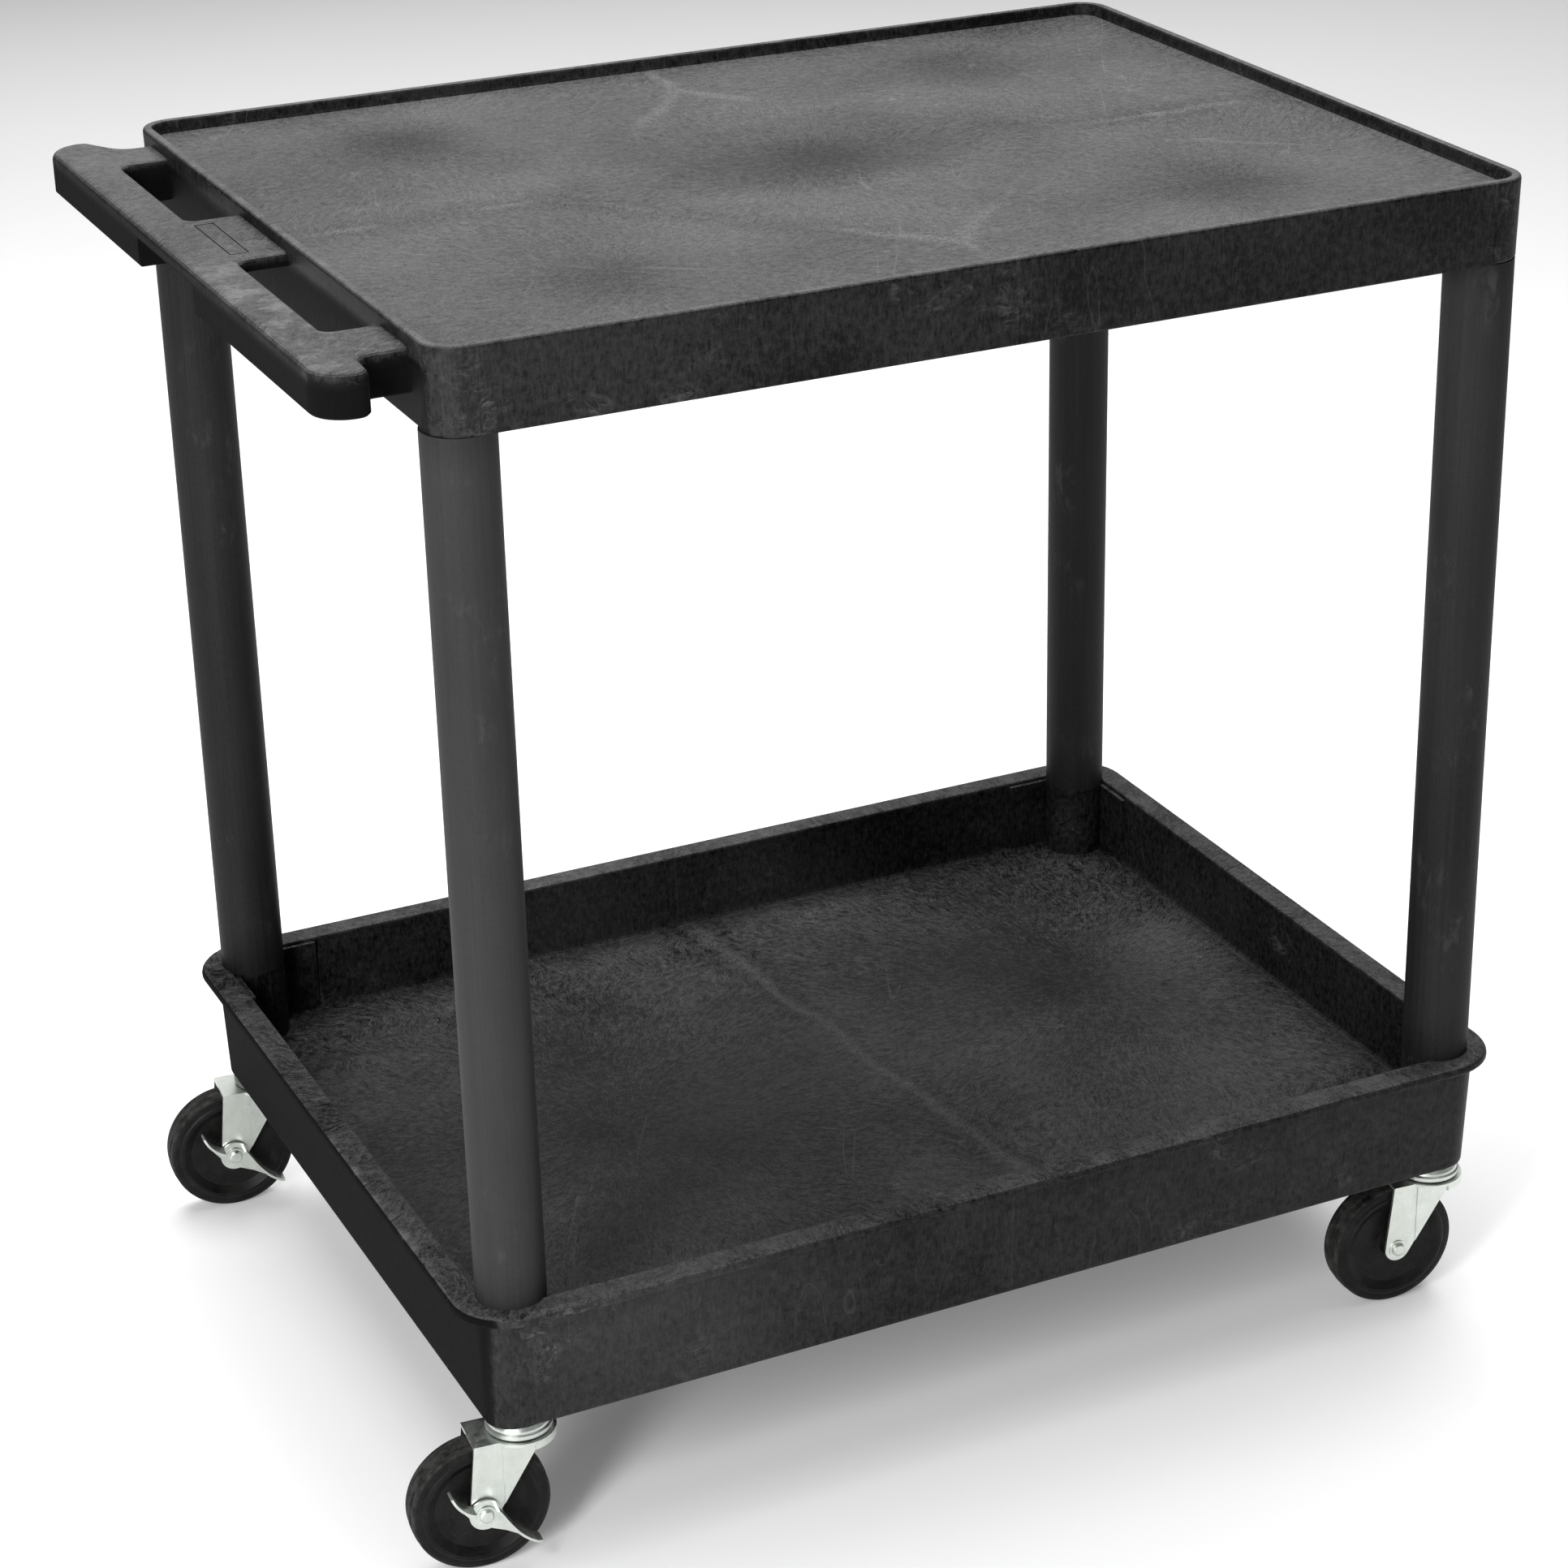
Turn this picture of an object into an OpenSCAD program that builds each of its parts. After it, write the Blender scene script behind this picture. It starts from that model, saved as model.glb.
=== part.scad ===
/* [Top shelf] */
// Length of the top shelf, without the handle
top_length = 813; // [790:1:830]
// Width of the top shelf
top_width = 622; // [610:1:635]
// Height of the top rim above the ground
cart_height = 905; // [860:1:960]
// Depth of the skirt, from the rim to its lower edge
skirt_depth = 60; // [56:1:70]
// Depth of the tray below the rim
tray_depth = 10.5; // [8:0.5:12]
// Corner radius of the top shelf
top_corner_r = 24; // [20:1:30]
// Thickness of the moulded walls and floors
wall = 5.5; // [5:0.5:7]

/* [Handle] */
// Reach of the handle beyond the end of the top shelf
handle_reach = 69.5; // [66:0.5:76]
// Width of the bar that the hands close round
bar_width = 34; // [30:1:36]
// Depth of the handle from top to underside
handle_depth = 30; // [26:1:34]
// Drop of the handle's top below the rim
handle_drop = 9; // [8:0.5:14]
// Front end of the handle, from the middle of the cart
handle_front = 302; // [298:1:311]
// Rear end of the handle, from the middle of the cart
handle_rear = 309; // [298:1:311]
// Front face of the handle's neck, from the middle of the cart
neck_front = 270; // [255:1:280]
// Rear face of the handle's neck, from the middle of the cart
neck_rear = 277; // [255:1:280]
// Front edge of the web between the hand holes, from the middle of the cart
web_front = 39; // [35:1:60]
// Rear edge of the web between the hand holes, from the middle of the cart
web_rear = 68; // [35:1:75]
// Front end of the front hand hole, from the middle of the cart
hole_front = 215; // [200:1:235]
// Rear end of the rear hand hole, from the middle of the cart
hole_rear = 231; // [200:1:235]
// Thickness of the handle's middle, where its underside steps up
middle_thick = 9; // [7:0.5:15]

/* [Tub shelf] */
// Length of the lower shelf over its flange
tub_length = 850; // [845:1:870]
// Width of the lower shelf over its flange
tub_width = 647; // [642:1:660]
// Height of the flange's top above the ground
tub_top = 215.4; // [212:0.2:225]
// Height of the lower shelf's bottom edge above the ground
tub_bottom = 116; // [114:1:118]
// Depth of the tub from the flange to its floor
tub_depth = 64; // [58:1:66]
// Corner radius of the flange
flange_r = 45; // [40:1:50]
// Corner radius of the skirt under the flange
tub_skirt_r = 21; // [18:1:30]

/* [Legs] */
// Outer diameter of a leg
leg_d = 50; // [48:1:50]
// Distance between the leg axes along the cart
leg_span_x = 764; // [760:1:766]
// Distance between the leg axes across the cart
leg_span_y = 568; // [564:1:570]
// Diameter of the plug at each end of a leg
plug_d = 40; // [36:1:42]

/* [Casters] */
// Wheel diameter
wheel_d = 102; // [98:1:102]
// Width of the wheel's tread
wheel_width = 24; // [20:1:25]
// Distance from the swivel axis to the axle
trail = 33; // [30:1:36]
// Direction that the casters are turned to
caster_yaw = -5; // [-180:1:180]
// Diameter of the kingpin stem
stem_d = 11; // [10:0.5:12]
// Diameter of the axle bolt
axle_d = 8; // [7:0.5:9]

/* [Hidden] */

// The corners of the cart: the handle is on the left, the front faces -Y
front_left = [-1, -1];
front_right = [1, -1];
rear_left = [-1, 1];
rear_right = [1, 1];
corners = [front_left, front_right, rear_left, rear_right];

// Half sizes, and the place of the shelves between the handle and the far flange
top_half = [top_length / 2, top_width / 2];
tub_half = [tub_length / 2, tub_width / 2];
handle_x = -(top_half[0] + handle_reach);
shelf_x = -(handle_x + tub_half[0]) / 2;
leg_axis = [leg_span_x / 2, leg_span_y / 2];

// Heights of the shelves
skirt_bottom = cart_height - skirt_depth;
tray_floor = cart_height - tray_depth;
deck_bottom = tray_floor - wall;
handle_top = cart_height - handle_drop;
tub_floor = tub_top - tub_depth;
tub_deck_bottom = tub_floor - wall;

// How far the cuts between the handle and the shelf run into the shelf's end wall
inside_wall = 2;

// Legs and their sockets
boss_r = leg_d / 2 - 0.3;
boss_top = tub_top - 0.8;
socket_fit = 0.05;
plug_length = 38;
leg_bore_d = 30;

// Casters
axle_height = wheel_d / 2;
plate = 2.3;
fork_top = wheel_d + 4;
fork_half = 17.5;
cup_r = 24;
cup_gap = 1;
ball_r = 2;
ball_ring_r = 15.5;
ball_count = 14;
running_gap = 0.05;
body_gap = 0.3;
hub_half = fork_half - plate - 0.4;
bush_r = 6;
bolt_head_r = 5.6;
bolt_head_h = 3.4;
lever_plate = 2;
lever_width = 12;
cheek_step = 0.7;
lever_out = fork_half + cheek_step + body_gap;

plastic = "#2b2b2d";
leg_plastic = "#3a3a3c";
zinc = "#b9c2b6";
steel = "#a8acac";
rubber = "#161616";

// Points on an arc round a centre, from one angle to another
function arc(centre, r, from, to, steps) =
    [for (i = [0 : steps]) centre + r * [cos(from + (to - from) * i / steps), sin(from + (to - from) * i / steps)]];

// Outline of a rectangle with round corners, counter-clockwise
function rounded(half, r) = [
    for (q = [0 : 3])
        let (sx = (q == 0 || q == 3) ? 1 : -1, sy = q < 2 ? 1 : -1)
        each arc([sx * (half[0] - r), sy * (half[1] - r)], r, 90 * q, 90 * q + 90, 10)
];

// Point on a cubic curve through four control points
function cubic(p, t) =
    pow(1 - t, 3) * p[0] + 3 * t * pow(1 - t, 2) * p[1] + 3 * t * t * (1 - t) * p[2] + pow(t, 3) * p[3];

// One ring of a tray: the outline taken in by inset, at height z, with its own corner radius
function ring(half, inset, z, r) =
    [for (p = rounded([half[0] - inset, half[1] - inset], r)) [p[0], p[1], z]];

// A closed solid through rings that all have the same number of points
module loft(rings) {
    n = len(rings[0]);
    m = len(rings);
    sides = [for (j = [0 : m - 2], i = [0 : n - 1])
        [(j + 1) * n + i, (j + 1) * n + (i + 1) % n, j * n + (i + 1) % n, j * n + i]];
    first = [for (i = [0 : n - 1]) i];
    last = [for (i = [n - 1 : -1 : 0]) (m - 1) * n + i];
    polyhedron([for (one = rings) each one], concat([first], sides, [last]));
}

// A tray: its section is a list of [inset, height] from the underside round the rim to the floor.
// A third number in an entry is that ring's own corner radius
module tray(half, r, section) {
    translate([shelf_x, 0, 0])
        loft([for (s = section) ring(half, s[0], s[1], len(s) > 2 ? s[2] : max(r - s[0], 6))]);
}

// Puts a piece on a corner's leg axis
module at_corner(corner) {
    translate([shelf_x + corner[0] * leg_axis[0], corner[1] * leg_axis[1], 0]) children();
}

// Puts a piece on a corner's swivel axis, with the caster turned to its yaw
module at_caster(corner) {
    at_corner(corner) rotate([0, 0, caster_yaw]) children();
}

// Puts a piece on the axle, with +Z of the piece along the axle to the rear
module on_axle(corner) {
    at_caster(corner) translate([-trail, 0, axle_height]) rotate([-90, 0, 0]) children();
}

// Moulded ribs under a floor, out from the middle to the walls and the corners
module star_ribs(half, top, depth) {
    thick = 4;
    diagonal = atan(leg_axis[1] / leg_axis[0]);
    reach = norm(leg_axis) - 10;
    translate([shelf_x, 0, top - depth]) {
        translate([-half[0], -thick / 2, 0]) cube([2 * half[0], thick, depth + 1]);
        translate([-thick / 2, -half[1], 0]) cube([thick, 2 * half[1], depth + 1]);
        for (turn = [diagonal, -diagonal])
            rotate([0, 0, turn]) translate([-reach, -thick / 2, 0]) cube([2 * reach, thick, depth + 1]);
    }
}

/* Top shelf, moulded in one with the handle */

top_section = [
    [wall + 4, deck_bottom],
    [wall + 2.6, skirt_bottom + 1],
    [wall + 2, skirt_bottom],
    [3, skirt_bottom],
    [1.1, skirt_bottom + 2.4],
    [0, cart_height - 2.8],
    [0.4, cart_height - 1.3],
    [1.3, cart_height - 0.4],
    [2.6, cart_height],
    [5, cart_height],
    [6.5, cart_height - 0.5],
    [7.2, cart_height - 1.8],
    [8.4, tray_floor + 3.6],
    [9.3, tray_floor + 1.4],
    [11, tray_floor + 0.3],
    [13, tray_floor]
];

// Half of the handle's outline taken in by inset: a neck back to the shelf, and a lobe at the end.
// The side between them leans by slant degrees from square to the bar
function handle_half_outline(inset, end, neck, neck_r, slant) =
    let (
        corner = 24,
        lobe_r = 10,
        lobe_x = handle_x + corner + 1.5,
        neck_x = lobe_x + ((end - lobe_r - neck - neck_r) * sin(slant) + lobe_r + neck_r) / cos(slant)
    )
    concat(
        [[-top_half[0] + 2 * inside_wall, neck - inset]],
        arc([neck_x, neck + neck_r], neck_r + inset, -90, -180 + slant, 6),
        arc([lobe_x, end - lobe_r], lobe_r - inset, slant, 90, 6),
        arc([handle_x + corner, end - corner], corner - inset, 90, 180, 10)
    );

function mirrored(points) = [for (i = [len(points) - 1 : -1 : 0]) [points[i][0], -points[i][1]]];

function handle_ring(inset, z) =
    [for (p = concat(
        handle_half_outline(inset, handle_rear, neck_rear, 16, 30),
        mirrored(handle_half_outline(inset, handle_front, neck_front, 10, 4))
    )) [p[0], p[1], z]];

// One hand hole between two ends, wider by flare at the top edge
function hole_ring(from, to, flare, z) =
    let (
        low = [handle_x + bar_width - flare, from - flare],
        high = [-top_half[0] + inside_wall, to + flare],
        r = 10
    )
    [for (p = concat(
        [[high[0], high[1]]],
        arc([low[0] + r, high[1] - r], r, 90, 180, 6),
        arc([low[0] + r, low[1] + r], r, 180, 270, 6),
        [[high[0], low[1]]]
    )) [p[0], p[1], z]];

// The handle without its holes, trimmed flat at the top and at the underside
module handle_body() {
    low = handle_top - handle_depth;
    edge = 6;
    spare = 4;
    translate([shelf_x, 0, 0]) difference() {
        loft(concat(
            [handle_ring(1.5, low - spare), handle_ring(1.5, low), handle_ring(0, low + 1.5)],
            [for (a = [0 : 18 : 90]) handle_ring(edge * (1 - cos(a)), handle_top - edge + edge * sin(a))],
            [handle_ring(edge, handle_top + spare)]
        ));
        for (z = [low - 2 * spare, handle_top])
            translate([handle_x - spare, -top_half[1] - spare, z])
                cube([handle_reach + 3 * spare, top_width + 2 * spare, 2 * spare]);
    }
}

module hand_hole(from, to) {
    edge = 4;
    low = handle_top - handle_depth - 1;
    translate([shelf_x, 0, 0]) loft(concat(
        [hole_ring(from, to, 0, low), hole_ring(from, to, 0, handle_top - edge)],
        [for (a = [22.5 : 22.5 : 90])
            hole_ring(from, to, edge * (1 - cos(a)), handle_top - edge + edge * sin(a))],
        [hole_ring(from, to, edge, handle_top + 1)]
    ));
}

// Hollows under the handle: the step up at the middle and the cores of the bar
module handle_underside() {
    low = handle_top - handle_depth;
    step_front = web_front + 11;
    step_rear = web_rear + 8;
    core_end = 262;
    core = [bar_width - 2 * wall, handle_depth - wall + 1];
    translate([shelf_x + handle_x, 0, low - 1]) {
        translate([-1, -step_front, 0])
            cube([handle_reach + 1 + inside_wall, step_front + step_rear, handle_depth - middle_thick + 1]);
        translate([wall, -core_end, 0]) cube([core[0], core_end - step_front - wall, core[1]]);
        translate([wall, step_rear + wall, 0]) cube([core[0], core_end - step_rear - wall, core[1]]);
    }
}

// Plain groove round the label panel on the web
module label_groove() {
    size = [14, 80];
    groove = 1.2;
    depth = 0.7;
    middle = (web_rear - web_front) / 2;
    translate([shelf_x + handle_x + 41, middle, handle_top - depth]) difference() {
        translate([-size[0] / 2, -size[1] / 2, 0]) cube([size[0], size[1], depth + 1]);
        translate([-size[0] / 2 + groove, -size[1] / 2 + groove, -1])
            cube([size[0] - 2 * groove, size[1] - 2 * groove, depth + 3]);
    }
}

// Takes the long faces in below the rim, between the corner columns
module face_drafts() {
    lean = 2.4;
    column = 30;
    deep = 10;
    for (side = [-1, 1]) {
        translate([shelf_x - top_half[0] + column, side * top_half[1], cart_height - 6])
            rotate([-side * lean, 0, 0]) translate([0, side > 0 ? 0 : -deep, -skirt_depth])
                cube([top_length - 2 * column, deep, skirt_depth]);
    }
    translate([shelf_x + top_half[0], -top_half[1] + column, cart_height - 6])
        rotate([0, lean, 0]) translate([0, 0, -skirt_depth])
            cube([deep, top_width - 2 * column, skirt_depth]);
}

module top_shelf() {
    color(plastic) difference() {
        union() {
            tray(top_half, top_corner_r, top_section);
            difference() {
                handle_body();
                hand_hole(-hole_front, -web_front);
                hand_hole(web_rear, hole_rear);
                handle_underside();
                label_groove();
            }
            star_ribs([top_half[0] - 5, top_half[1] - 5], deck_bottom, 12);
            for (corner = corners)
                at_corner(corner) translate([0, 0, skirt_bottom + 0.5])
                    cylinder(h = deck_bottom - skirt_bottom, r = leg_d / 2 - 1.2, $fn = 96);
        }
        face_drafts();
        for (corner = corners)
            at_corner(corner) translate([0, 0, skirt_bottom - 1])
                cylinder(h = plug_length + 3, d = plug_d + 2 * socket_fit, $fn = 96);
    }
}

/* Tub shelf */

tub_section = [
    [24, tub_deck_bottom, tub_skirt_r - wall],
    [22.8, tub_bottom + 1, tub_skirt_r - wall],
    [22, tub_bottom, tub_skirt_r - wall + 1],
    [19.5, tub_bottom, tub_skirt_r - 2],
    [18, tub_bottom + 1, tub_skirt_r - 0.6],
    [17.4, tub_bottom + 3, tub_skirt_r],
    [15, tub_top - 9, tub_skirt_r],
    [14.2, tub_top - 7.4, tub_skirt_r + 0.8],
    [12.6, tub_top - 6.8, tub_skirt_r + 2.4],
    [0.9, tub_top - 6.6],
    [0, tub_top - 5.6],
    [0, tub_top - 4.2],
    [0.5, tub_top - 2.4],
    [1.7, tub_top - 0.9],
    [3.4, tub_top - 0.2],
    [5.4, tub_top],
    [20.4, tub_top],
    [21.8, tub_top - 0.5],
    [22.6, tub_top - 1.9],
    [24.6, tub_floor + 5],
    [25.4, tub_floor + 2.4],
    [27, tub_floor + 0.7],
    [29.4, tub_floor]
];

// Thicker stretches of the inside wall next to each leg boss
module corner_pads(corner) {
    length = 57;
    inset = 26.4;
    top = tub_top - 3;
    x = tub_half[0] - inset;
    y = tub_half[1] - inset;
    translate([shelf_x, 0, tub_floor - 1]) on_corner(corner) {
        translate([leg_axis[0] - length, y, 0]) cube([length, 3.4, top - tub_floor + 1]);
        translate([x, leg_axis[1] - length, 0]) cube([3.4, length, top - tub_floor + 1]);
    }
}

// Mirrors a piece drawn for the rear right corner to another corner
module on_corner(corner) {
    mirror([corner[0] < 0 ? 1 : 0, 0, 0]) mirror([0, corner[1] < 0 ? 1 : 0, 0]) children();
}

// The block under a leg, kept inside the outer face of the skirt
module leg_boss(corner) {
    skin = 18.5;
    intersection() {
        at_corner(corner) translate([0, 0, tub_floor - 1])
            cylinder(h = boss_top - tub_floor + 1, r = boss_r, $fn = 96);
        translate([shelf_x - tub_half[0] + skin, skin - tub_half[1], tub_floor - 2])
            cube([tub_length - 2 * skin, tub_width - 2 * skin, tub_depth + 4]);
    }
}

module tub_shelf() {
    color(plastic) difference() {
        union() {
            tray(tub_half, flange_r, tub_section);
            star_ribs([tub_half[0] - 20, tub_half[1] - 20], tub_deck_bottom, 14);
            for (corner = corners) {
                leg_boss(corner);
                at_corner(corner) translate([0, 0, tub_bottom + 0.5])
                    cylinder(h = tub_floor - tub_bottom - 1, r = 19, $fn = 96);
                corner_pads(corner);
            }
        }
        for (corner = corners) {
            at_corner(corner) translate([0, 0, boss_top])
                cylinder(h = 10, d = leg_d + 2 * socket_fit, $fn = 96);
            at_corner(corner) translate([0, 0, boss_top - plug_length - 2])
                cylinder(h = plug_length + 10, d = plug_d + 2 * socket_fit, $fn = 96);
            at_corner(corner) translate([0, 0, tub_bottom - 1])
                cylinder(h = 40, d = stem_d + 2 * socket_fit, $fn = 64);
        }
    }
}

/* Legs */

module leg(corner) {
    low = boss_top;
    high = skirt_bottom;
    color(leg_plastic) at_corner(corner) difference() {
        union() {
            translate([0, 0, low]) cylinder(h = high - low, d = leg_d, $fn = 128);
            translate([0, 0, low - plug_length]) cylinder(h = high - low + 2 * plug_length, d = plug_d, $fn = 96);
        }
        translate([0, 0, low - plug_length - 1])
            cylinder(h = high - low + 2 * plug_length + 2, d = leg_bore_d, $fn = 96);
    }
}

/* Casters */

// Kingpin stem: pressed up into the tub, with a riveted head under the fork
module stem(corner) {
    head_r = 9;
    head_top = fork_top - plate - body_gap;
    head_h = 3.7;
    color(steel) at_corner(corner) {
        translate([0, 0, head_top - head_h]) cylinder(h = tub_bottom + 37 - head_top + head_h, d = stem_d, $fn = 64);
        translate([0, 0, head_top - head_h]) cylinder(h = head_h, r = head_r, $fn = 64);
    }
}

// Upper raceway cup, fixed under the tub
module raceway_cup(corner) {
    ceiling = fork_top + 2 * ball_r + body_gap;
    lip = fork_top + cup_gap;
    color(zinc) at_corner(corner) rotate_extrude($fn = 96) polygon([
        [stem_d / 2 + socket_fit, ceiling],
        [cup_r - 3, ceiling],
        [cup_r - 3, lip],
        [cup_r - 0.8, lip],
        [cup_r, lip + 0.8],
        [cup_r, lip + 3.6],
        [cup_r - 1.4, lip + 4.8],
        [cup_r - 1.8, lip + 6.4],
        [cup_r - 3.2, tub_bottom],
        [stem_d / 2 + socket_fit, tub_bottom]
    ]);
}

// Ring of bearing balls between the cup and the fork
module swivel_balls(corner) {
    color(steel) at_caster(corner) for (i = [0 : ball_count - 1])
        rotate([0, 0, i * 360 / ball_count]) translate([ball_ring_r, 0, fork_top + ball_r])
            sphere(r = ball_r, $fn = 48);
}

// Touching point of the line from p to a circle round the origin
function touch(p, r, side) =
    let (far = norm(p), a = atan2(p[1], p[0]) + side * acos(r / far))
    r * [cos(a), sin(a)];

// Side plate of the fork, seen from the front with the axle at the origin
module cheek_outline(back_top, front_top, foot_r) {
    rise = fork_top - axle_height - 0.5;
    back = [-back_top, rise];
    front = [front_top, rise];
    t_back = touch(back, foot_r, 1);
    t_front = touch(front, foot_r, -1);
    polygon(concat(
        [back],
        arc([0, 0], foot_r, atan2(t_back[1], t_back[0]), atan2(t_front[1], t_front[0]) + 360, 16),
        [front]
    ));
}

module cheek() {
    rotate([90, 0, 0]) translate([-trail, axle_height, 0]) {
        linear_extrude(plate) cheek_outline(5, 46, 10.5);
        // Stiffening step along the leading part
        linear_extrude(plate + cheek_step) intersection() {
            cheek_outline(5, 46, 10.5);
            translate([15, -20]) square([60, 100]);
        }
    }
}

module fork(corner) {
    crown_r = 26.5;
    back = trail + 5;
    color(zinc) at_caster(corner) difference() {
        union() {
            translate([0, 0, fork_top - plate]) cylinder(h = plate, r = crown_r, $fn = 96);
            translate([-back, -fork_half, fork_top - plate]) cube([back, 2 * fork_half, plate]);
            rotate([0, 0, -80]) rotate_extrude(angle = 160, $fn = 96) polygon([
                [crown_r - plate, fork_top - 7],
                [crown_r - 0.6, fork_top - 7],
                [crown_r, fork_top - 6.2],
                [crown_r, fork_top - 0.8],
                [crown_r - 0.8, fork_top],
                [crown_r - plate, fork_top]
            ]);
            translate([0, -fork_half + plate, 0]) cheek();
            mirror([0, 1, 0]) translate([0, -fork_half + plate, 0]) cheek();
        }
        translate([0, 0, fork_top - 10]) cylinder(h = 20, d = stem_d + 2 * running_gap, $fn = 64);
        translate([-trail, 40, axle_height]) rotate([90, 0, 0])
            cylinder(h = 80, d = axle_d + 2 * socket_fit, $fn = 64);
    }
}

// Solid wheel: grooved tread, raised ring near the edge, dished face and a long hub
function wheel_half_section() = [
    [bush_r + running_gap, hub_half],
    [9.2, hub_half],
    [9.8, hub_half - 0.6],
    [10.6, 8.2],
    [14, 7.2],
    [34, 8],
    [38, 10.6],
    [40, 12],
    [42.5, 12],
    [44, 11.2],
    [47, 11],
    [axle_height - 1.6, wheel_width / 2 - 1.6],
    [axle_height - 0.6, wheel_width / 2 - 2.6],
    [axle_height - 0.4, 5.4],
    [axle_height - 1.6, 4.6],
    [axle_height - 1.6, 3.8],
    [axle_height, 3]
];

module wheel(corner) {
    half = wheel_half_section();
    other = [for (i = [len(half) - 1 : -1 : 0]) [half[i][0], -half[i][1]]];
    color(rubber) on_axle(corner) rotate_extrude($fn = 128) polygon(concat(half, other));
}

// Spacer tube that the wheel turns on
module axle_bush(corner) {
    length = 2 * (fork_half - plate);
    color(steel) on_axle(corner) translate([0, 0, -length / 2]) difference() {
        cylinder(h = length, r = bush_r, $fn = 64);
        translate([0, 0, -1]) cylinder(h = length + 2, d = axle_d + 2 * socket_fit, $fn = 64);
    }
}

// Axle bolt with a domed head at the front, outside the lever on a braked caster
module axle_bolt(corner, braked) {
    head_at = braked ? lever_out + lever_plate + body_gap : fork_half;
    tail = fork_half + 7.5;
    color(zinc) on_axle(corner) {
        translate([0, 0, -head_at - 1]) cylinder(h = head_at + 1 + tail, d = axle_d, $fn = 64);
        rotate_extrude($fn = 64) polygon([
            [0, -head_at],
            [bolt_head_r + 1.6, -head_at],
            [bolt_head_r + 1.6, -head_at - 0.9],
            [bolt_head_r, -head_at - 1],
            [bolt_head_r - 0.4, -head_at - bolt_head_h + 0.9],
            [bolt_head_r - 1.6, -head_at - bolt_head_h],
            [0, -head_at - bolt_head_h - 0.3]
        ]);
    }
}

module axle_nut(corner) {
    color(zinc) on_axle(corner) translate([0, 0, fork_half]) difference() {
        union() {
            cylinder(h = 1, r = 8, $fn = 64);
            translate([0, 0, 1]) cylinder(h = 5, r = 7.2, $fn = 6);
        }
        translate([0, 0, -1]) cylinder(h = 10, d = axle_d + 2 * socket_fit, $fn = 64);
    }
}

/* Brake lever: a stamped plate round the axle with a pedal curled out from each wing */

left_pedal = [[-25, 25], [-22, 18], [-17, 11], [-9, 8.5]];
right_pedal = [[7.5, 8], [13, 0], [21, -20], [38, -26]];

// The stretch of a curve between two shares of its length
function curve(p, steps, from = 0, to = 1) =
    [for (i = [0 : steps]) cubic(p, from + (to - from) * i / steps)];

// A curved strip of even thickness below a curve
function strip(points, thick) = concat(points, [for (i = [len(points) - 1 : -1 : 0])
    let (
        a = points[max(i - 1, 0)],
        b = points[min(i + 1, len(points) - 1)],
        along = (b - a) / norm(b - a)
    )
    points[i] + thick * [along[1], -along[0]]
]);

module lever_wings() {
    left_foot = [[-5, 0], [-6, -10.4], [-12, 0], [-19, 9]];
    right_foot = [[26, -24], [14, -16.5], [3, -11.6], [5, 0]];
    linear_extrude(lever_plate) polygon(concat(curve(left_pedal, 8, 0.35, 1), left_foot));
    linear_extrude(lever_plate) polygon(concat(curve(right_pedal, 8, 0, 0.8), right_foot));
}

// The pedals, out from the plate, with their outer corners rounded when seen from above
module lever_pedals() {
    tips = [left_pedal[0][0] - 1.5, right_pedal[3][0] + 1.5];
    tip_r = [4, 6.5];
    intersection() {
        union() {
            linear_extrude(lever_width) polygon(strip(curve(left_pedal, 10), 1.8));
            linear_extrude(lever_width) polygon(strip(curve(right_pedal, 10), 1.8));
        }
        rotate([90, 0, 0]) translate([0, 0, -60]) linear_extrude(120) polygon(concat(
            [[tips[0], -1], [tips[1], -1]],
            arc([tips[1] - tip_r[1], lever_width - tip_r[1]], tip_r[1], 0, 90, 8),
            arc([tips[0] + tip_r[0], lever_width - tip_r[0]], tip_r[0], 90, 180, 8)
        ));
    }
}

module brake_lever(corner) {
    color(zinc) at_caster(corner) translate([-trail, -lever_out, axle_height]) rotate([90, 0, 0])
        difference() {
            union() {
                cylinder(h = lever_plate, r = 12, $fn = 96);
                lever_wings();
                lever_pedals();
            }
            translate([0, 0, -1]) cylinder(h = lever_plate + 2, d = axle_d + 2 * running_gap, $fn = 64);
        }
}

top_shelf();
tub_shelf();
leg(front_left);  // leg_front_left
leg(front_right);  // leg_front_right
leg(rear_left);  // leg_rear_left
leg(rear_right);  // leg_rear_right
stem(front_left);  // stem_front_left
stem(front_right);  // stem_front_right
stem(rear_left);  // stem_rear_left
stem(rear_right);  // stem_rear_right
raceway_cup(front_left);  // raceway_cup_front_left
raceway_cup(front_right);  // raceway_cup_front_right
raceway_cup(rear_left);  // raceway_cup_rear_left
raceway_cup(rear_right);  // raceway_cup_rear_right
swivel_balls(front_left);  // swivel_balls_front_left
swivel_balls(front_right);  // swivel_balls_front_right
swivel_balls(rear_left);  // swivel_balls_rear_left
swivel_balls(rear_right);  // swivel_balls_rear_right
fork(front_left);  // fork_front_left
fork(front_right);  // fork_front_right
fork(rear_left);  // fork_rear_left
fork(rear_right);  // fork_rear_right
wheel(front_left);  // wheel_front_left
wheel(front_right);  // wheel_front_right
wheel(rear_left);  // wheel_rear_left
wheel(rear_right);  // wheel_rear_right
axle_bush(front_left);  // axle_bush_front_left
axle_bush(front_right);  // axle_bush_front_right
axle_bush(rear_left);  // axle_bush_rear_left
axle_bush(rear_right);  // axle_bush_rear_right
axle_bolt(front_left, true);  // axle_bolt_front_left
axle_bolt(front_right, false);  // axle_bolt_front_right
axle_bolt(rear_left, true);  // axle_bolt_rear_left
axle_bolt(rear_right, false);  // axle_bolt_rear_right
axle_nut(front_left);  // axle_nut_front_left
axle_nut(front_right);  // axle_nut_front_right
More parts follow.
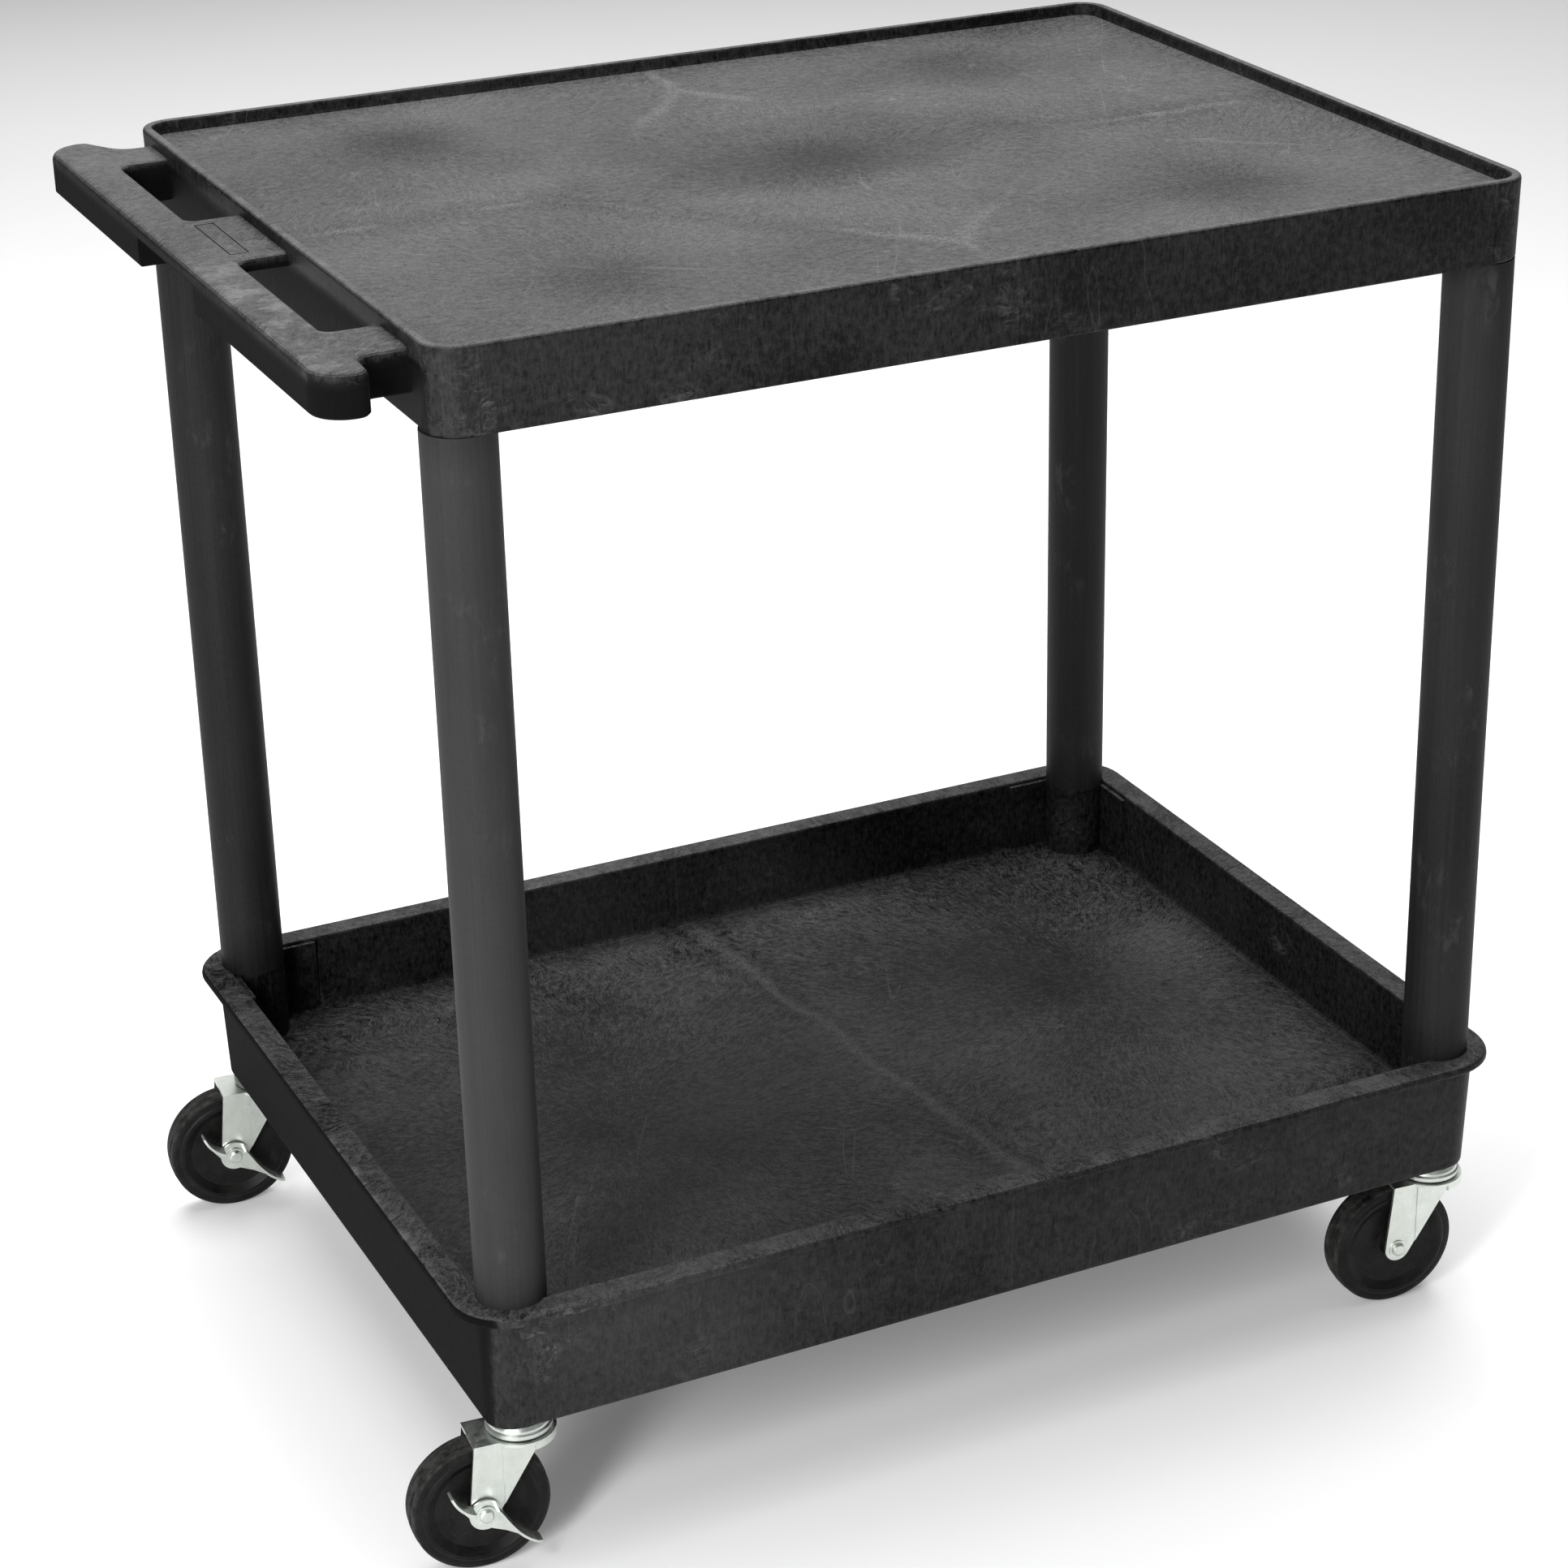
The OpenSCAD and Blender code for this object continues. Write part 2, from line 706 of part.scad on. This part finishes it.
axle_nut(rear_left);  // axle_nut_rear_left
axle_nut(rear_right);  // axle_nut_rear_right
brake_lever(front_left);  // brake_lever_front_left
brake_lever(rear_left);  // brake_lever_rear_left
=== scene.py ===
import math

import bmesh
import bpy
from mathutils import Matrix, Vector


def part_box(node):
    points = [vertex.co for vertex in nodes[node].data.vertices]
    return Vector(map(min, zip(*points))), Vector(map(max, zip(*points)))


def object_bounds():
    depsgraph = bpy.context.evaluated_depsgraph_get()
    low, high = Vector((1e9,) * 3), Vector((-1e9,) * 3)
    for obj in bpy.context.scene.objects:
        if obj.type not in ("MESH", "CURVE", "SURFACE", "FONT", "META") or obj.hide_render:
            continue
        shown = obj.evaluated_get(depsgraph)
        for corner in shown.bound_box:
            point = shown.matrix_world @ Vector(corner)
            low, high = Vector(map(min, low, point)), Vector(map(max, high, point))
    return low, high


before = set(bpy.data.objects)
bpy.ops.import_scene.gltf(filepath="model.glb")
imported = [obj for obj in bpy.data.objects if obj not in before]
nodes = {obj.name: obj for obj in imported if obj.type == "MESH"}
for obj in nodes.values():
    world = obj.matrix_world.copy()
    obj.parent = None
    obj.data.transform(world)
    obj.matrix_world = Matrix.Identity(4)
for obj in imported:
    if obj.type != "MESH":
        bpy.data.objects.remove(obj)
cad_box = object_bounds()

CORNERS = ("front_left", "front_right", "rear_left", "rear_right")
BRAKED_CORNERS = ("front_left", "rear_left")
CASTER_YAW = math.radians(-5)


def middle_of(node):
    """The middle of a CAD node's box."""
    low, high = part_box(node)
    return (low + high) / 2


# Where the shelves are, in the row frame. end_x is where the top shelf ends and its handle begins
shelf_x = middle_of("tub_shelf").x
rim_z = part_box("top_shelf")[1].z
end_x = 2 * shelf_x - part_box("top_shelf")[1].x
flange_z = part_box("tub_shelf")[1].z

# The gates that each shelf was filled through. The first of the top shelf is at its middle
top_gates = [(shelf_x, 0.0)] + [(shelf_x + 0.23 * i, 0.195 * j) for i in (-1, 1) for j in (-1, 1)]
tub_gates = [(shelf_x - 0.19, -0.010), (shelf_x + 0.265, 0.036)]

# The dark and the pale end of each finish's colour
BLACK = (0.0022, 0.0022, 0.0023, 1)
# the pale plastic end stands for rubbed plastic and also for the painted light on upward faces
WORN_AND_LIT_PLASTIC = (0.150, 0.150, 0.149, 1)
LEG_DARK = (0.004, 0.004, 0.0042, 1)
LEG_PALE = (0.085, 0.085, 0.086, 1)
TREAD_DUST = (0.12, 0.117, 0.11, 1)
ZINC_DARK = (0.50, 0.54, 0.50, 1)
ZINC_PALE = (0.86, 0.89, 0.86, 1)
STEEL_DARK = (0.42, 0.43, 0.43, 1)
STEEL_PALE = (0.72, 0.73, 0.73, 1)
METAL_WARM = (0.66, 0.70, 0.60, 1)
FLOOR_DARK = (0.91, 0.91, 0.91, 1)
FLOOR_PALE = (0.94, 0.94, 0.94, 1)
WHITE = (1, 1, 1, 1)


class Graph:
    """Short calls that build one material's node graph."""

    PORTS = {"FLOAT": (2, 3, 0), "VECTOR": (4, 5, 1), "RGBA": (6, 7, 2)}

    def __init__(self, name):
        self.material = bpy.data.materials.new(name)
        self.material.use_nodes = True
        self.tree = self.material.node_tree
        self.shader = self.tree.nodes["Principled BSDF"]
        coordinates = self.add("ShaderNodeTexCoord")
        self.place = coordinates.outputs["Object"]
        self.facing = self.parts(coordinates.outputs["Normal"])

    def add(self, kind, inputs=None, **settings):
        node = self.tree.nodes.new(kind)
        for name, value in settings.items():
            setattr(node, name, value)
        for name, value in (inputs or {}).items():
            self.put(node.inputs[name], value)
        return node

    def put(self, socket, value):
        if isinstance(value, bpy.types.NodeSocket):
            self.tree.links.new(value, socket)
        else:
            socket.default_value = value

    def math(self, operation, *values):
        node = self.add("ShaderNodeMath", operation=operation)
        for i, value in enumerate(values):
            self.put(node.inputs[i], value)
        return node.outputs[0]

    def vector(self, operation, *values):
        node = self.add("ShaderNodeVectorMath", operation=operation)
        for i, value in enumerate(values):
            self.put(node.inputs[i], value)
        return node.outputs["Value" if operation in ("LENGTH", "DOT_PRODUCT") else "Vector"]

    def times(self, at, factors):
        return self.vector("MULTIPLY", at, factors)

    def both(self, a, b):
        """High only where a and b are both high."""
        return self.math("MULTIPLY", a, b)

    def parts(self, at):
        return self.add("ShaderNodeSeparateXYZ", {0: at}).outputs

    def joined(self, x, y, z):
        return self.add("ShaderNodeCombineXYZ", {0: x, 1: y, 2: z}).outputs[0]

    def noise(self, at, scale=1.0, detail=2.0, rough=0.5, bend=0.0):
        inputs = {"Vector": at, "Scale": scale, "Detail": detail, "Roughness": rough, "Distortion": bend}
        return self.add("ShaderNodeTexNoise", inputs).outputs[0]

    def cells(self, at, scale):
        return self.add("ShaderNodeTexVoronoi", {"Vector": at, "Scale": scale}).outputs

    def span(self, value, low, high, out_low=0.0, out_high=1.0):
        """value taken smoothly from low..high to out_low..out_high, and held beyond them."""
        inputs = {"Value": value, "From Min": low, "From Max": high, "To Min": out_low, "To Max": out_high}
        return self.add("ShaderNodeMapRange", inputs, interpolation_type="SMOOTHSTEP").outputs[0]

    def blend(self, kind, factor, a, b):
        """a where factor is 0, b where it is 1."""
        first, second, out = self.PORTS[kind]
        node = self.add("ShaderNodeMix", data_type=kind)
        self.put(node.inputs[0], factor)
        self.put(node.inputs[first], a)
        self.put(node.inputs[second], b)
        return node.outputs[out]

    def total(self, *terms):
        """The sum of (value, weight) terms; a bare number adds itself."""
        result = 0.0
        for term in terms:
            if isinstance(term, tuple):
                result = self.math("MULTIPLY_ADD", term[0], term[1], result)
            else:
                result = self.math("ADD", result, term)
        return result

    def held(self, value):
        """value, kept within 0..1."""
        return self.math("MINIMUM", self.math("MAXIMUM", value, 0.0), 1.0)

    def line(self, value, middle, half):
        """1 where value is middle, falling to 0 at half away from it."""
        return self.span(self.math("ABSOLUTE", self.math("SUBTRACT", value, middle)), half, 0.0)

    def wobble(self, at, scale, amount):
        """at, moved about by a soft noise of up to amount metres."""
        inputs = {"Vector": at, "Scale": scale, "Detail": 2.0}
        noise = self.add("ShaderNodeTexNoise", inputs).outputs["Color"]
        moved = self.vector("SUBTRACT", noise, (0.5, 0.5, 0.5))
        return self.vector("ADD", at, self.times(moved, (2 * amount, 2 * amount, 2 * amount)))

    def shifted(self, offset):
        """The place on the object moved by offset, so that one noise doesn't follow another."""
        return self.vector("ADD", self.place, offset)

    def coat(self, colour, roughness, height, depth):
        """What the shader is driven by: colour, roughness, and a bump of height times depth metres."""
        self.put(self.shader.inputs["Base Color"], colour)
        self.put(self.shader.inputs["Roughness"], roughness)
        inputs = {"Height": height, "Distance": depth, "Strength": 1.0}
        self.put(self.shader.inputs["Normal"], self.add("ShaderNodeBump", inputs).outputs[0])

    def finish(self, **constants):
        for name, value in constants.items():
            self.shader.inputs[name.replace("_", " ")].default_value = value
        return self.material


def flow(g, gates):
    """The vector from the nearest gate, its length, and how much farther off the next nearest one is."""
    flat = g.times(g.wobble(g.place, 9.0, 0.016), (1, 1, 0))
    beyond_any_gate = 9.0
    near, first, second = None, None, beyond_any_gate
    for gate in gates:
        away = g.vector("SUBTRACT", flat, (gate[0], gate[1], 0))
        distance = g.vector("LENGTH", away)
        if near is None:
            near, first = away, distance
            continue
        near = g.blend("VECTOR", g.math("LESS_THAN", distance, first), near, away)
        second = g.math("MINIMUM", second, g.math("MAXIMUM", distance, first))
        first = g.math("MINIMUM", first, distance)
    return near, first, g.math("SUBTRACT", second, first)


def scratches(g, slant, seed, low):
    """Fine straight scratches that lean by slant degrees from the X axis, in a few patches."""
    x, y, z = g.parts(g.wobble(g.place, 3.0, 0.01))
    lean = math.radians(slant)
    along = g.total((x, math.cos(lean)), (y, math.sin(lean)))
    across = g.total((x, -math.sin(lean)), (y, math.cos(lean)))
    drawn_out = g.joined(
        g.math("MULTIPLY", along, 1.6),
        g.total((across, 27.0), seed),
        g.math("MULTIPLY", z, 9.0),
    )
    thin = g.line(g.noise(drawn_out, 1.0, 1.0, 0.4), 0.5, 0.006)
    patches = g.noise(g.shifted((seed, 2.9, 5.0)), 8.0, 2.0)
    return g.both(thin, g.span(patches, low, low + 0.08))


def moulded(name, gates, rim, painted_lit_up_tone, painted_shaded_side_tone, gate_mark, weld, breaks, lens):
    """Black moulded polyethylene: flow strokes away from the gates, weld lines, scuffs and scratches.

    rim is the height of the upper lip, which is worn pale and also has a painted highlight.
    painted_lit_up_tone and painted_shaded_side_tone say how pale the upward and the upright faces are; the
    difference between them is painted light and shade. gate_mark, weld and lens say how strong the dark
    marks at the gates, the pale weld lines and the dark oval round the first gate are. A higher breaks
    leaves more gaps in the weld lines.
    """
    g = Graph(name)
    x, y, z = g.parts(g.place)
    up = g.span(g.facing[2], 0.55, 0.9)

    # Grain: strokes that follow the flow on upward faces, upright draw marks on the others
    near, reach, gap = flow(g, gates)
    ahead = g.parts(near)
    turn = g.math("ARCTAN2", ahead[1], ahead[0])
    soft_turn = g.total((turn, 1.0), (g.noise(g.place, 14.0, 3.0), 0.3))
    wide_rays = g.joined(g.math("MULTIPLY", soft_turn, 75.0), g.math("MULTIPLY", reach, 45.0), z)
    thin_rays = g.joined(g.math("MULTIPLY", soft_turn, 210.0), g.math("MULTIPLY", reach, 80.0), z)
    strokes = g.noise(wide_rays, 1.0, 3.0, 0.6)
    fine = g.noise(thin_rays, 1.0, 2.0, 0.6)
    flowing = g.total((strokes, 0.4), (fine, 0.6))
    drawn = g.noise(g.times(g.wobble(g.place, 20.0, 0.004), (560, 560, 130)), 1.0, 3.0, 0.65)
    grain = g.blend("FLOAT", up, drawn, flowing)

    # Blotches of three sizes, and sandy grit
    cloud = g.noise(g.wobble(g.place, 4.0, 0.08), 5.5, 5.0, 0.55)
    broad = g.noise(g.place, 2.4, 2.0, 0.5)
    mottle = g.noise(g.place, 190.0, 3.0, 0.65)
    grit = g.noise(g.place, 820.0, 2.0, 0.7)

    # Wear: scuffed patches, scratches, and the rim and the front half of the handle rubbed pale; the pale
    # rim band also stands in for a painted highlight
    patch = g.span(g.noise(g.shifted((4.1, 1.7, 0.3)), 9.0, 4.0, 0.6), 0.53, 0.74)
    swirl = g.noise(g.wobble(g.times(g.place, (1, 1, 1.4)), 26.0, 0.05), 95.0, 3.0, 0.7, 0.8)
    scuff = g.both(patch, g.span(swirl, 0.45, 0.75))
    scratch = g.math("MAXIMUM", scratches(g, 62.0, 3.7, 0.55), scratches(g, -38.0, 8.1, 0.60))
    worn = g.noise(g.times(g.place, (30, 30, 12)), 1.0, 3.0, 0.7)
    # the pale rim band: real rubbing plus a painted highlight
    rim_wear_and_highlight = g.both(g.line(z, rim, 0.0022), g.span(worn, 0.38, 0.6))
    grip = g.both(g.span(x, end_x - 0.008, end_x - 0.016), g.span(y, 0.06, -0.10))
    smear = g.both(grip, g.span(g.noise(g.wobble(g.place, 30.0, 0.01), 34.0, 4.0, 0.65), 0.46, 0.70))

    # Weld lines where two flows met, and painted shade in the darker bands along them
    lengths = g.noise(g.shifted((3.0, 0.5, 2.0)), 8.0, 2.0)
    feathered = g.total((gap, 1.0), (strokes, 0.03), -0.015)
    front = g.both(g.line(feathered, 0.0, 0.016), g.span(lengths, breaks, breaks + 0.16))
    front = g.both(front, g.span(grit, 0.25, 0.65))
    shade = g.both(g.span(gap, 0.06, 0.004), g.span(broad, 0.4, 0.62))

    # Dark marks at the gates, and the oval round the first of them
    mark = g.span(g.total((reach, 1.0), (strokes, 0.07), -0.035), 0.085, 0.012)
    stretch = g.vector("SUBTRACT", g.wobble(g.place, 7.0, 0.03), (gates[0][0], gates[0][1], 0.0))
    oval = g.vector("LENGTH", g.times(stretch, (1 / 0.20, 1 / 0.075, 0)))
    middle = g.span(g.total((oval, 1.0), (strokes, 0.9), -0.45), 1.0, 0.45)

    # Upright faces: painted light, paler towards the front left corner; two faint seams; painted shade,
    # the handle darker low down for its deep hand holes
    painted_light_near_end = g.both(g.span(x, shelf_x + 0.02, shelf_x - 0.36), g.span(y, 0.1, -0.25))
    seam = g.math("MAXIMUM", g.line(x, shelf_x, 0.0016), g.line(x, shelf_x - 0.376, 0.0016))
    # painted shade: the handle's faces below its top are darkened and dulled for the shade in its deep
    # hand holes
    painted_hole_shade = g.both(g.span(x, end_x + 0.004, end_x - 0.002), g.span(z, rim_z - 0.011, rim_z - 0.022))

    # A few small pits
    pits = g.cells(g.place, 62.0)
    chance = g.parts(pits["Color"])[0]
    pit = g.both(g.span(pits["Distance"], 0.075, 0.05), g.math("GREATER_THAN", chance, 0.972))

    # painted light and shade: upward faces start from a paler tone than upright faces, standing in for the
    # sheen on top
    on_top = g.total(
        painted_lit_up_tone, (cloud, 0.65), -0.325, (broad, 0.35), -0.175, (grain, 1.4), -0.7, (mottle, 0.7), -0.35,
        (grit, 1.1), -0.55, (mark, -gate_mark), (middle, -lens), (shade, -0.12), (front, weld),
        (scratch, 0.2), (scuff, 0.4), (smear, 0.5),
    )
    on_side = g.total(
        painted_shaded_side_tone, (cloud, 0.3), -0.15, (grain, 0.26), -0.13, (mottle, 0.26), -0.13, (grit, 0.16), -0.08,
        (scuff, 0.7), (scratch, 0.1), (painted_light_near_end, 0.06), (seam, 0.05), (smear, 0.1), (painted_hole_shade, -0.3),
    )
    tone = g.held(g.total((g.blend("FLOAT", up, on_side, on_top), 1.0), (rim_wear_and_highlight, 0.15), (pit, -0.4)))
    rough = g.total(0.46, (tone, 0.22), (grain, 0.22), -0.11, (painted_hole_shade, 0.45))
    height = g.total(
        (grain, 0.6), (mottle, 0.25), (grit, 0.15), (scratch, -0.5), (front, 0.5), (pit, -2.0),
        (cloud, 1.5),
    )
    colour = g.blend("RGBA", tone, BLACK, WORN_AND_LIT_PLASTIC)
    g.coat(colour, g.math("MAXIMUM", rough, 0.3), height, 0.00035)
    return g.finish(Specular_IOR_Level=0.12)


def leg_tube(name, paleness):
    """Satin extruded tube: faint draw lines along it, small rubs, and a darker tone near the ends."""
    g = Graph(name)
    z = g.parts(g.place)[2]
    lines = g.noise(g.times(g.place, (560, 560, 6)), 1.0, 2.0, 0.6)
    cloud = g.noise(g.times(g.place, (9, 9, 3.5)), 1.0, 4.0, 0.55)
    mottle = g.noise(g.place, 420.0, 2.0, 0.6)
    patch = g.span(g.noise(g.shifted((1.0, 3.0, 2.0)), 16.0, 3.0), 0.55, 0.72)
    streaks = g.noise(g.times(g.wobble(g.place, 30.0, 0.01), (160, 160, 40)), 1.0, 3.0, 0.7)
    rub = g.both(patch, g.span(streaks, 0.46, 0.7))
    ends = g.math("MAXIMUM", g.span(z, 0.26, 0.215), g.span(z, 0.815, 0.845))
    tone = g.held(g.total(
        paleness, (lines, 0.16), -0.08, (cloud, 0.3), -0.15, (mottle, 0.12), -0.06, (rub, 0.3),
        (ends, -0.08),
    ))
    rough = g.total(0.46, (cloud, 0.14), (rub, 0.2), (lines, 0.06))
    height = g.total((lines, 0.7), (mottle, 0.4), (rub, 0.4))
    g.coat(g.blend("RGBA", tone, LEG_DARK, LEG_PALE), rough, height, 0.00012)
    return g.finish(Specular_IOR_Level=0.10)


def bare_metal(name, dark, pale, rough, spread):
    """Zinc plate or plain steel: cloudy spangle, rolling lines and fine scratches."""
    g = Graph(name)
    cloud = g.noise(g.wobble(g.place, 60.0, 0.004), 85.0, 4.0, 0.6)
    spangle = g.cells(g.wobble(g.place, 120.0, 0.003), 260.0)
    flake = g.parts(spangle["Color"])[0]
    rolled = g.noise(g.times(g.place, (900, 900, 70)), 1.0, 2.0, 0.6)
    fine = g.noise(g.times(g.place, (260, 1500, 1500)), 1.0, 2.0, 0.6)
    scratch = g.span(fine, 0.62, 0.72)
    warmth = g.span(g.noise(g.place, 38.0, 2.0, 0.5), 0.4, 0.65, 0.0, 0.35)
    tone = g.held(g.total(
        0.45, (cloud, 0.9), -0.45, (flake, 0.14), -0.07, (rolled, 0.3), -0.15, (scratch, 0.15),
    ))
    colour = g.blend("RGBA", warmth, g.blend("RGBA", tone, dark, pale), METAL_WARM)
    dull = g.total(rough, (cloud, spread), (flake, spread * 0.4), (scratch, -0.05))
    height = g.total((cloud, 0.5), (rolled, 0.4), (scratch, -0.6))
    g.coat(colour, g.math("MAXIMUM", dull, 0.12), height, 0.00006)
    return g.finish(Metallic=1.0)


def wheel_rubber(name, hub, yaw):
    """Hard black rubber: moulding rings on the sides, a dusty rubbed tread, and lint specks."""
    g = Graph(name)

    # The place on the wheel, as seen from its hub: across it, out from the axle, and round the axle
    away = g.vector("SUBTRACT", g.place, tuple(hub))
    axle = (-math.sin(yaw), math.cos(yaw), 0.0)
    rolling = (math.cos(yaw), math.sin(yaw), 0.0)
    across = g.vector("DOT_PRODUCT", away, axle)
    forward = g.vector("DOT_PRODUCT", away, rolling)
    height = g.parts(away)[2]
    forward_squared = g.math("MULTIPLY", forward, forward)
    height_squared = g.math("MULTIPLY", height, height)
    reach = g.math("SQRT", g.total((forward_squared, 1.0), (height_squared, 1.0)))
    turn = g.math("ARCTAN2", height, forward)

    ringed = g.joined(g.math("MULTIPLY", reach, 900.0), g.math("MULTIPLY", turn, 2.0), across)
    rings = g.noise(ringed, 1.0, 2.0, 0.6)
    cloud = g.noise(g.place, 48.0, 4.0, 0.6)
    grit = g.noise(g.place, 700.0, 2.0, 0.6)
    tread = g.span(reach, 0.0478, 0.0502)
    dust = g.both(tread, g.span(g.noise(g.place, 120.0, 4.0, 0.7), 0.36, 0.66))
    lint = g.cells(g.times(g.wobble(g.place, 90.0, 0.003), (1, 1, 1.6)), 230.0)
    chance = g.parts(lint["Color"])[1]
    speck = g.both(g.span(lint["Distance"], 0.16, 0.08), g.math("GREATER_THAN", chance, 0.93))

    tone = g.held(g.total(
        0.04, (cloud, 0.22), -0.11, (rings, 0.10), -0.05, (grit, 0.1), -0.05, (dust, 0.28), (speck, 0.3),
    ))
    rough = g.total(0.34, (cloud, 0.12), (tread, 0.2), (dust, 0.15), (grit, 0.06))
    relief = g.total((rings, 0.5), (grit, 0.5), (dust, 0.6))
    g.coat(g.blend("RGBA", tone, BLACK, TREAD_DUST), rough, relief, 0.00012)
    return g.finish(Specular_IOR_Level=0.14)


def paint_pieces():
    """Gives every CAD node its finish."""
    # painted light and shade: the top shelf's upward faces are paler for the sheen on them, the tub's
    # darker for the shade of the top shelf above
    top_finish = moulded(
        "moulded_plastic_top", top_gates, rim_z,
        painted_lit_up_tone=0.41, painted_shaded_side_tone=0.048, gate_mark=0.21, weld=0.42, breaks=0.44, lens=0.15,
    )
    tub_finish = moulded(
        "moulded_plastic_tub", tub_gates, flange_z,
        painted_lit_up_tone=0.22, painted_shaded_side_tone=0.066, gate_mark=0.05, weld=0.36, breaks=0.25, lens=0.0,
    )
    leg_finish = leg_tube("leg_plastic_satin", paleness=0.16)
    # painted light: a paler copy of the leg finish, for the light falling on the front left leg
    lit_leg_finish = leg_tube("leg_plastic_painted_lit", paleness=0.34)
    zinc = bare_metal("zinc_plate", ZINC_DARK, ZINC_PALE, rough=0.22, spread=0.22)
    steel = bare_metal("plain_steel", STEEL_DARK, STEEL_PALE, rough=0.24, spread=0.14)

    finishes = {"top_shelf": top_finish, "tub_shelf": tub_finish}
    for corner in CORNERS:
        hub = middle_of(f"axle_bush_{corner}")
        # the front left leg gets the painted-light copy
        finishes[f"leg_{corner}"] = lit_leg_finish if corner == "front_left" else leg_finish
        finishes[f"wheel_{corner}"] = wheel_rubber(f"hard_rubber_{corner}", hub, CASTER_YAW)
        for kind in ("fork", "raceway_cup", "axle_nut", "axle_bolt"):
            finishes[f"{kind}_{corner}"] = zinc
        for kind in ("stem", "swivel_balls", "axle_bush"):
            finishes[f"{kind}_{corner}"] = steel
    for corner in BRAKED_CORNERS:
        finishes[f"brake_lever_{corner}"] = zinc
    for name, piece in nodes.items():
        for slot in piece.material_slots:
            slot.material = finishes[name]


def stage_floor():
    """A plain pale floor just under the wheels."""
    half_width = 14.0
    gap_below_wheels = 0.0004
    mesh = bpy.data.meshes.new("floor")
    shape = bmesh.new()
    bmesh.ops.create_grid(shape, x_segments=8, y_segments=8, size=half_width)
    shape.to_mesh(mesh)
    shape.free()
    floor = bpy.data.objects.new("floor", mesh)
    floor.location = (0, 0, cad_box[0][2] - gap_below_wheels)
    bpy.context.scene.collection.objects.link(floor)
    g = Graph("floor_paint")
    tone = g.noise(g.place, 3.0, 4.0, 0.6)
    g.put(g.shader.inputs["Base Color"], g.blend("RGBA", tone, FLOOR_DARK, FLOOR_PALE))
    paint = g.finish(Roughness=0.9, Specular_IOR_Level=0.1, Emission_Color=WHITE, Emission_Strength=0.12)
    mesh.materials.append(paint)


def softbox(name, place, target, size, watts):
    """A rectangular light at place that faces target and isn't itself seen by the camera."""
    light = bpy.data.lights.new(name, "AREA")
    light.shape = "RECTANGLE"
    light.size, light.size_y = size
    light.energy = watts
    holder = bpy.data.objects.new(name, light)
    holder.location = place
    holder.rotation_euler = (Vector(target) - Vector(place)).to_track_quat("-Z", "Y").to_euler()
    holder.visible_camera = False
    bpy.context.scene.collection.objects.link(holder)


def studio():
    """Dim even surroundings, broad lights above and behind, and a narrow upright light at the left."""
    world = bpy.data.worlds.new("studio")
    world.use_nodes = True
    background = world.node_tree.nodes["Background"]
    background.inputs["Color"].default_value = WHITE
    background.inputs["Strength"].default_value = 0.18
    bpy.context.scene.world = world
    near_leg = (-0.36, -0.28, 0.5)
    softbox("overhead", place=(0.3, 0.6, 3.4), target=(0, 0, 0.6), size=(3.6, 3.0), watts=165)
    softbox("backdrop", place=(1.2, 4.2, 2.4), target=(0, 0, 0.9), size=(5.5, 2.6), watts=36)
    softbox("left_front", place=(-1.95, -1.75, 1.3), target=near_leg, size=(0.5, 2.0), watts=62)
    bpy.context.scene.view_settings.view_transform = "Standard"


def photo_camera():
    """The camera that was fitted to the photograph's straight edges and corners."""
    data = bpy.data.cameras.new("photo_view")
    data.lens = 87.39
    data.sensor_width = 36.0
    data.shift_x = -0.0555
    data.shift_y = 0.0250
    data.clip_end = 60.0
    camera = bpy.data.objects.new("photo_view", data)
    heading = Matrix.Rotation(math.radians(-26.15), 4, "Z")
    pitch = Matrix.Rotation(math.radians(65.0), 4, "X")
    roll = Matrix.Rotation(math.radians(-0.79), 4, "Z")
    place = Matrix.Translation((-1.1208, -2.4160, 1.6181))
    camera.matrix_world = place @ (heading @ pitch @ roll)
    bpy.context.scene.collection.objects.link(camera)
    bpy.context.scene.camera = camera


paint_pieces()
stage_floor()
studio()
photo_camera()
